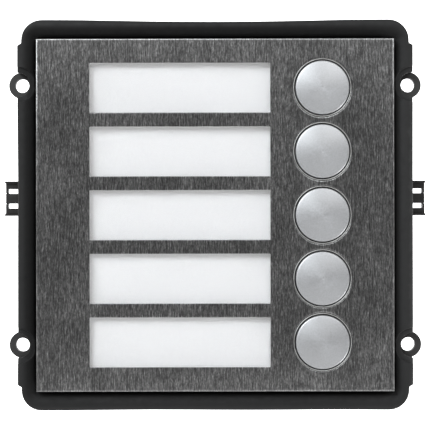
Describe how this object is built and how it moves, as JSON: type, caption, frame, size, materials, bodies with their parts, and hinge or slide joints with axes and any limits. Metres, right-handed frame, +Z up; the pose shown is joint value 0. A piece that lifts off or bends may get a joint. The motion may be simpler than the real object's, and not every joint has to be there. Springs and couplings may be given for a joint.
{
  "type": "door intercom call panel",
  "caption": "Square steel-faced call panel module with back-lit name windows, round call buttons, rubber rim gasket, mounting lugs and side clips.",
  "frame": {"origin": "centre of the four lug holes, on the front faces of the lugs", "axes": "+X to the caller's right, +Y into the wall, +Z up; the front of the panel faces -Y"},
  "size_m": [0.1284, 0.0318, 0.118],
  "materials": {
    "brushed_steel": "satin",
    "adhesive": "matte",
    "black_abs": "satin",
    "gasket_rubber": "matte",
    "opal_acrylic": "satin",
    "grey_silicone": "matte",
    "board_green": "satin",
    "led_white": "gloss",
    "gold_plate": "satin",
    "chip_black": "matte",
    "part_grey": "satin",
    "connector_ivory": "satin",
    "tinned_pin": "satin",
    "seal_foam": "matte",
    "zinc_steel": "satin",
    "black_acetal": "satin",
    "label_film": "satin",
    "bezel_metal": "satin",
    "satin_metal": "satin",
    "clear_window": "gloss",
    "card_white": "matte",
    "carbon_black": "matte"
  },
  "bodies": {
    "root": {"face_plate": "brushed_steel", "plate_adhesive": "adhesive", "front_carrier": "black_abs", "rim_gasket": "gasket_rubber", "light_diffuser": "opal_acrylic", "keypad_mat": "grey_silicone", "control_board": "board_green", "backlight_leds": "led_white", "contact_pads": "gold_plate", "controller_chip": "chip_black", "board_parts": "part_grey", "connector_in": "connector_ivory", "connector_out": "connector_ivory", "connector_pins": "tinned_pin", "rear_case": "black_abs", "case_seal": "seal_foam", "case_screws": "zinc_steel", "board_screws": "zinc_steel", "clip_bracket_left": "black_acetal", "clip_bracket_right": "black_acetal", "rating_label": "label_film", "button_bezel_1": "bezel_metal", "button_bezel_2": "bezel_metal", "button_bezel_3": "bezel_metal", "button_bezel_4": "bezel_metal", "button_bezel_5": "bezel_metal", "label_window_1": "clear_window", "label_window_2": "clear_window", "label_window_3": "clear_window", "label_window_4": "clear_window", "label_window_5": "clear_window", "name_card_1": "card_white", "name_card_2": "card_white", "name_card_3": "card_white", "name_card_4": "card_white", "name_card_5": "card_white", "keypad_dome_1": "grey_silicone", "keypad_dome_2": "grey_silicone", "keypad_dome_3": "grey_silicone", "keypad_dome_4": "grey_silicone", "keypad_dome_5": "grey_silicone"},
    "button_1": {"button_cap_1": "satin_metal", "carbon_pill_1": "carbon_black"},
    "button_2": {"button_cap_2": "satin_metal", "carbon_pill_2": "carbon_black"},
    "button_3": {"button_cap_3": "satin_metal", "carbon_pill_3": "carbon_black"},
    "button_4": {"button_cap_4": "satin_metal", "carbon_pill_4": "carbon_black"},
    "button_5": {"button_cap_5": "satin_metal", "carbon_pill_5": "carbon_black"},
    "clip_left": {"clip_finger_left": "black_acetal"},
    "clip_right": {"clip_finger_right": "black_acetal"}
  },
  "joints": [
    {"name": "press_1", "type": "slide", "parent": "root", "child": "button_1", "axis": [0, 1, 0], "range_m": [0, 0.0012], "stiffness_N_per_m": 1500, "springref_m": -0.0005, "deforming": ["keypad_dome_1"]},
    {"name": "press_2", "type": "slide", "parent": "root", "child": "button_2", "axis": [0, 1, 0], "range_m": [0, 0.0012], "stiffness_N_per_m": 1500, "springref_m": -0.0005, "deforming": ["keypad_dome_2"]},
    {"name": "press_3", "type": "slide", "parent": "root", "child": "button_3", "axis": [0, 1, 0], "range_m": [0, 0.0012], "stiffness_N_per_m": 1500, "springref_m": -0.0005, "deforming": ["keypad_dome_3"]},
    {"name": "press_4", "type": "slide", "parent": "root", "child": "button_4", "axis": [0, 1, 0], "range_m": [0, 0.0012], "stiffness_N_per_m": 1500, "springref_m": -0.0005, "deforming": ["keypad_dome_4"]},
    {"name": "press_5", "type": "slide", "parent": "root", "child": "button_5", "axis": [0, 1, 0], "range_m": [0, 0.0012], "stiffness_N_per_m": 1500, "springref_m": -0.0005, "deforming": ["keypad_dome_5"]},
    {"name": "clip_flex_left", "type": "hinge", "parent": "root", "child": "clip_left", "pos_m": [-0.06195, 0.0126, 0.0051], "axis": [0, 0, 1], "range_deg": [0, 7], "stiffness_Nm_per_rad": 0.3},
    {"name": "clip_flex_right", "type": "hinge", "parent": "root", "child": "clip_right", "pos_m": [0.06195, 0.0126, 0.0051], "axis": [0, 0, -1], "range_deg": [0, 7], "stiffness_Nm_per_rad": 0.3}
  ]
}
